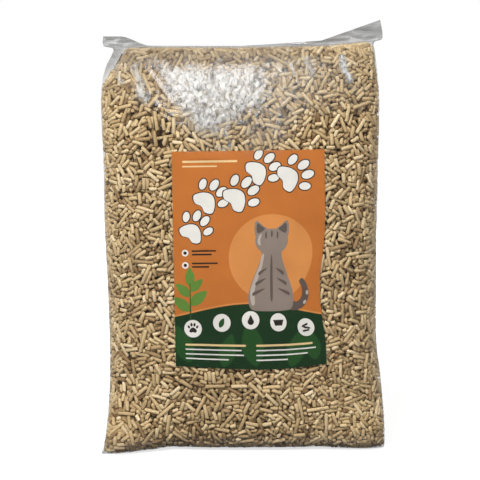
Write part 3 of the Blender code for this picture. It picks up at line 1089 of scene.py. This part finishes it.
def beside(spots, start, end):
    """Where each spot lies along a line, as a share of its length, and how far from the line it is."""
    run = np.array(end) - np.array(start)
    along = (spots - start) @ run / (run @ run)
    return along, np.linalg.norm(spots - start - np.clip(along, 0.0, 1.0)[:, None] * run, axis=1)


def noise_over(places, scale_x, level, scale_z):
    """Noise over the front at each place."""
    return np.array([noise.noise(Vector((x * scale_x, level, z * scale_z))) for x, _, z in places])


def crease_height(places):
    """How far the creases of the front stand out at each place."""
    height = np.zeros(len(places))
    for x0, z0, x1, z1, width, rise in CREASES:
        along, aside = beside(places[:, [0, 2]], (x0, z0), (x1, z1))
        to_an_end = np.minimum(along, 1.0 - along) + CREASE_PAST
        fade = np.clip(CREASE_FADE * to_an_end, 0.0, 1.0)
        height += rise * fade * np.exp(-(aside / width) ** 2)
    return height


def painted_glare_share(places):
    """How much glare is painted on the film: most in a patch under the top weld, less around it and in
    streaks.
    """
    wander = np.stack([noise_over(places, 45.0, level, 45.0) for level in (3.0, 9.0)], axis=1)
    spots = places[:, [0, 2]] + GLARE_WANDER * wander
    outline = np.array(GLARE_PATCH)
    depth = np.full(len(places), np.inf)
    for start, end in zip(outline, np.roll(outline, -1, axis=0)):
        run = (end - start) / np.linalg.norm(end - start)
        depth = np.minimum(depth, (spots - start) @ np.array([-run[1], run[0]]))
    reach, most = np.where(places[:, :1] < 0.0, AROUND_LEFT, AROUND_RIGHT).T
    around = most * ease(reach, AROUND_NEAR, depth)
    aside = np.abs(places[:, 0] - AROUND_FOOT_MIDDLE)
    foot = AROUND_FOOT[0] + AROUND_FOOT[1] * ease(*AROUND_FOOT_SIDES, aside)
    around *= ease(foot, foot + AROUND_FOOT_FADE, places[:, 2]) * (1.0 - ease(*AROUND_TOP, places[:, 2]))
    pale = np.maximum(GLARE_MOST * ease(*GLARE_EDGE, depth), around)
    for x0, z0, x1, z1, half_width, most in GLINT_STREAKS:
        away = beside(spots, (x0, z0), (x1, z1))[1]
        pale = np.maximum(pale, most * (1.0 - ease(GLINT_CORE * half_width, half_width, away)))
    return pale * (places[:, 1] < 0.0)


def slack_and_shade_share(places, empty, unbacked):
    """How slack and grey the film is: most in the ears, less in the corners and at the weld; painted shade
    at the foot.
    """
    x, z = places[:, 0], places[:, 2]
    ear = np.maximum(ease(*EAR_SIDES[0], -x), RIGHT_EAR_SHARE * ease(*EAR_SIDES[1], x))
    in_ears = empty * ease(*EAR_HEIGHTS, z) * (EAR_SLACK + (1.0 - EAR_SLACK) * ear)
    top_corner = ease(*CORNER_SIDES, np.abs(x)) * ease(*CORNER_HEIGHTS, z)
    in_corners = CORNER_SLACK * np.maximum(top_corner, 1.0 - ease(*CORNER_FOOT, z)) * unbacked
    under_weld = VEIL * ease(*VEIL_HEIGHTS, z) * (1.0 - VEIL_CLEARS * ease(*VEIL_CLEARING, x))
    # Painted shade at the foot.
    shade_at_foot = FOOT_SHADE * (1.0 - ease(*FOOT_SHADE_HEIGHTS, z))
    return np.maximum.reduce((in_ears, in_corners, under_weld, shade_at_foot))


def smoothed(values, rounds):
    """Values over the film's rings, evened out among their neighbours."""
    for _ in range(rounds):
        values[1:-1] = (values[:-2] + 2.0 * values[1:-1] + values[2:]) / 4.0
        values = (np.roll(values, 1, axis=1) + 2.0 * values + np.roll(values, -1, axis=1)) / 4.0
    return values


def film_mesh(rings, under):
    """The film: drawn in between the pellets under it, creased, and fluttering where it is empty."""
    base = tube_mesh("film", rings)
    normals = np.empty(len(base.vertices) * 3)
    base.vertices.foreach_get("normal", normals)
    normals = normals.reshape(-1, 3)
    flat = rings.reshape(-1, 3)
    room = [
        under.ray_cast(Vector(place), Vector(inward), FILM_REACH)[3] or FILM_REACH
        for place, inward in zip(flat, -normals)
    ]
    room = np.array(room).reshape(rings.shape[:2])
    unbacked = smoothed(ease(BACKED_WITHIN, FILM_REACH, room), CORNER_SMOOTHING).ravel()
    room = np.where(room < FILM_REACH, np.clip(room - FILM_GAP, 0.0, FILM_SAG_MOST), 0.0)
    sag = np.minimum(smoothed(room.copy(), FILM_SMOOTHING) * FILM_SAG_SHARE, room).ravel()
    empty = 1.0 - ease(*EMPTY_UNDER, np.abs(rings - rings[:, ::-1])[:, :, 1].ravel())
    in_front = np.tile(np.arange(rings.shape[1]) <= FILM_COLUMNS, len(rings))
    out = crease_height(flat) * in_front * (1.0 - empty) - sag
    places = flat + normals * out[:, None]
    flutter = sum(reach * noise_over(flat, *scales) for reach, *scales in FLUTTERS)
    places[:, 1] += flutter * empty * ease(*FLUTTER_HEIGHTS, places[:, 2])
    places[:, 2] = np.maximum(places[:, 2], 0.0)
    base.vertices.foreach_set("co", places.ravel())
    # The slack attribute also carries the painted shade at the film's foot.
    set_values(base, "slack", slack_and_shade_share(flat, empty, unbacked))
    set_values(base, "painted_glare", painted_glare_share(flat))
    base.update()
    base.set_sharp_from_angle(angle=FOLD_ANGLE)
    return base


def blend(tree, share, one, two):
    """Two shaders mixed: a share of the second."""
    return add_node(tree, "ShaderNodeMixShader", {"Fac": share, 1: one, 2: two}).outputs["Shader"]


def stacked(tree, one, two):
    """Two shaders added up."""
    return add_node(tree, "ShaderNodeAddShader", {0: one, 1: two}).outputs["Shader"]


def streaks(tree, place, scale, turn, detail, distortion):
    """Noise drawn out along a direction in the film's face, which leans by so many degrees."""
    values = {"Vector": place, "Scale": scale, "Rotation": (0.0, math.radians(turn), 0.0)}
    stretched = add_node(tree, "ShaderNodeMapping", values).outputs["Vector"]
    return cloud(tree, stretched, 1.0, detail, distortion)


def film_material():
    """Clear film: glossy, greyer where slack and at a slant, with painted shade at its foot and painted
    glare.
    """
    material, tree, haze = new_material("clear_film")
    place = object_place(tree)

    crinkled = relief(tree, cloud(tree, place, 190.0, 2.5, 0.6), 0.35, 0.0008)
    slant = add_node(tree, "ShaderNodeLayerWeight", {"Blend": 0.5, "Normal": crinkled})
    steep = calculate(tree, "POWER", slant.outputs["Facing"], 7.0)
    clear = add_node(tree, "ShaderNodeBsdfTransparent", {"Color": (0.98, 0.98, 0.975, 1.0)})
    gloss = add_node(tree, "ShaderNodeBsdfGlossy", {"Roughness": 0.14, "Normal": crinkled})
    mirror = spread(tree, steep, 0.0, 1.0, 0.105, 0.45)
    skin = blend(tree, mirror, clear.outputs["BSDF"], gloss.outputs["BSDF"])

    pulled = streaks(tree, place, (28.0, 28.0, 190.0), -14.0, 3.0, 0.0)
    grey = ramp(tree, pulled, (0.34, (0.15, 0.15, 0.146)), (0.68, (0.39, 0.39, 0.385)))
    feed(haze, {"Base Color": grey, "Roughness": 0.35, "Normal": crinkled})
    slack = spread(tree, attribute(tree, "slack"), 0.0, 1.0, 0.01, 0.65)
    hazed = calculate(tree, "MAXIMUM", slack, calculate(tree, "MULTIPLY", steep, 0.8))
    smooth = blend(tree, hazed, skin, haze.outputs["BSDF"])

    # Painted glare: milky white with grey lines and a faint gloss, over real crinkles, stands in for the
    # key light's reflection.
    wrinkles = streaks(tree, place, (185.0, 150.0, 115.0), 35.0, 4.0, 0.9)
    lined = ramp(tree, wrinkles, (0.40, (0.24, 0.24, 0.225)), (0.58, (0.56, 0.56, 0.545)))
    folded = relief(tree, wrinkles, 0.6, 0.0022)
    milk = add_node(tree, "ShaderNodeBsdfDiffuse", {"Color": lined, "Normal": folded})
    faint = (0.11, 0.11, 0.11, 1.0)
    dull = add_node(tree, "ShaderNodeBsdfGlossy", {"Color": faint, "Roughness": 0.17, "Normal": folded})
    glare_shader = stacked(tree, milk.outputs["BSDF"], dull.outputs["BSDF"])
    broken = spread(tree, wrinkles, 0.36, 0.62, 0.58, 0.78)
    glare_amount = calculate(tree, "MULTIPLY", attribute(tree, "painted_glare"), broken)
    feed(tree.nodes["Material Output"], {"Surface": blend(tree, glare_amount, smooth, glare_shader)})
    return material


def joined_tree(pieces):
    """A search tree of several pieces together."""
    places, faces, count = [], [], 0
    for piece in pieces:
        corners, triangles = mesh_arrays(piece.data)
        places += corners.tolist()
        faces += (triangles + count).tolist()
        count += len(corners)
    return BVHTree.FromPolygons(places, faces)


contents = joined_tree(pellet_pieces + [printed_sheet])
film = add_piece("film", film_mesh(bag_rings, contents))
film.data.materials.append(film_material())
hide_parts("film_bag")
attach(film, "root")


# The floor and the light of a plain studio: one large soft light high in front, which the film mirrors, a
# lamp on each side and one behind, which it doesn't, and a pale surround.
FLOOR_SIZE = 6.0
FLOOR_DROP = 0.0003
DIM_FRONT = 0.06
PALE_BACK = 0.5
DIM_SURROUND = 0.13

floor_mesh = bpy.data.meshes.new("floor")
corner = FLOOR_SIZE / 2.0
corners = [(x * corner, y * corner, 0.0) for x, y in ((-1, -1), (1, -1), (1, 1), (-1, 1))]
floor_mesh.from_pydata(corners, [], [(0, 1, 2, 3)])
floor_mesh.transform(Matrix.Translation((0.0, 0.0, -FLOOR_DROP)))
floor = add_piece("floor", floor_mesh)


def mirrored_rays(tree):
    """Whether a ray comes from a gloss or through something, and whether it comes from the camera."""
    rays = add_node(tree, "ShaderNodeLightPath").outputs
    mirrored = calculate(tree, "MAXIMUM", rays["Is Glossy Ray"], rays["Is Transmission Ray"])
    return mirrored, rays["Is Camera Ray"]


def floor_material():
    """A white floor that keeps shadows and reaches white to the camera."""
    material, tree, shader = new_material("studio_floor")
    feed(shader, {"Base Color": (0.32, 0.32, 0.32, 1.0), "Roughness": 0.9, "Specular IOR Level": 0.1})
    place = object_place(tree)
    mirrored, seen = mirrored_rays(tree)
    away = add_node(tree, "ShaderNodeVectorMath", {"Vector": place}, operation="LENGTH").outputs["Value"]
    fade = spread(tree, away, 0.4, 1.5, 0.68, 1.0)
    glow = add_node(tree, "ShaderNodeEmission", {"Strength": calculate(tree, "MULTIPLY", seen, fade)})
    lit = stacked(tree, shader.outputs["BSDF"], glow.outputs["Emission"])
    parts = add_node(tree, "ShaderNodeSeparateXYZ", {"Vector": place})
    behind = spread(tree, parts.outputs["Y"], -0.1, 0.7, DIM_FRONT, PALE_BACK)
    image = add_node(tree, "ShaderNodeEmission", {"Strength": behind})
    feed(tree.nodes["Material Output"], {"Surface": blend(tree, mirrored, lit, image.outputs["Emission"])})
    return material


floor_mesh.materials.append(floor_material())


def add_surround():
    """A world that is white to the camera and dim to the object, and in gloss darker in front and above."""
    world = bpy.data.worlds.new("studio")
    scene.world = world
    world.use_nodes = True
    tree = world.node_tree
    mirrored, seen = mirrored_rays(tree)
    way = add_node(tree, "ShaderNodeTexCoord").outputs["Generated"]
    parts = add_node(tree, "ShaderNodeSeparateXYZ", {"Vector": way}).outputs
    behind = spread(tree, parts["Y"], -0.3, 0.8, DIM_FRONT, PALE_BACK)
    overhead = spread(tree, parts["Z"], 0.15, 0.55, 1.0, 0.1)
    around = calculate(tree, "MULTIPLY", behind, overhead)
    reflected = add_node(tree, "ShaderNodeMix", {"Factor": mirrored, "A": DIM_SURROUND, "B": around})
    level = add_node(tree, "ShaderNodeMix", {"Factor": seen, "A": reflected.outputs["Result"], "B": 1.0})
    white = (1.0, 1.0, 1.0, 1.0)
    feed(tree.nodes["Background"], {"Color": white, "Strength": level.outputs["Result"]})


add_surround()


def soft_light(name, place, aim, wide, high, power, mirrored=True):
    """A soft rectangle of light that faces a point. Unless it is mirrored, gloss doesn't show it."""
    light = bpy.data.lights.new(name, "AREA")
    light.shape = "RECTANGLE"
    light.size = wide
    light.size_y = high
    light.energy = power
    lamp = bpy.data.objects.new(name, light)
    lamp.location = place
    lamp.rotation_euler = (Vector(aim) - Vector(place)).to_track_quat("-Z", "Y").to_euler()
    lamp.visible_glossy = mirrored
    scene.collection.objects.link(lamp)


soft_light("key", (-0.46, -2.60, 2.365), (-0.02, 0.0, 0.40), 1.18, 1.45, 28.0)
soft_light("left", (-1.60, -2.20, 2.90), (0.0, 0.0, 0.30), 0.50, 0.50, 139.0, mirrored=False)
soft_light("right", (2.20, -2.50, 2.60), (0.0, 0.0, 0.30), 1.90, 1.90, 66.0, mirrored=False)
soft_light("behind", (0.60, 2.80, 2.40), (0.0, 0.0, 0.30), 1.80, 1.80, 115.0, mirrored=False)

scene.view_settings.view_transform = "Standard"
